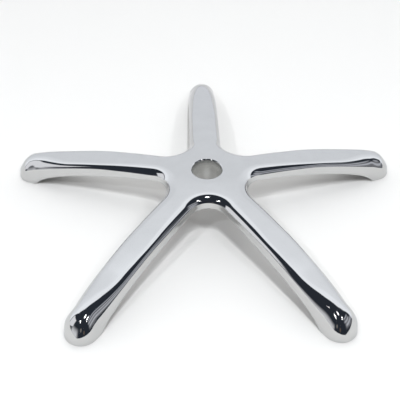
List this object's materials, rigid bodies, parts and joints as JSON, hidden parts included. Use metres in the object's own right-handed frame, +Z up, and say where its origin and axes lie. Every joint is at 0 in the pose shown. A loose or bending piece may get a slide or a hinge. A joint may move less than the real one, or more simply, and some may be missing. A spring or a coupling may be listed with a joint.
{
  "type": "office chair five star base",
  "caption": "One-piece polished star base for a swivel office chair: arched hollow legs, a tapered gas lift seat in the hub and a caster socket under each foot.",
  "frame": {"origin": "on the axis of the hub's bore, at the level of the undersides of the feet", "axes": "+Z up along the bore; +Y along the leg that points away from the viewer; +X to the viewer's right"},
  "size_m": [0.6684, 0.6383, 0.091],
  "materials": {
    "polished_aluminium": "polished"
  },
  "bodies": {
    "root": {"star_base": "polished_aluminium"}
  },
  "joints": []
}
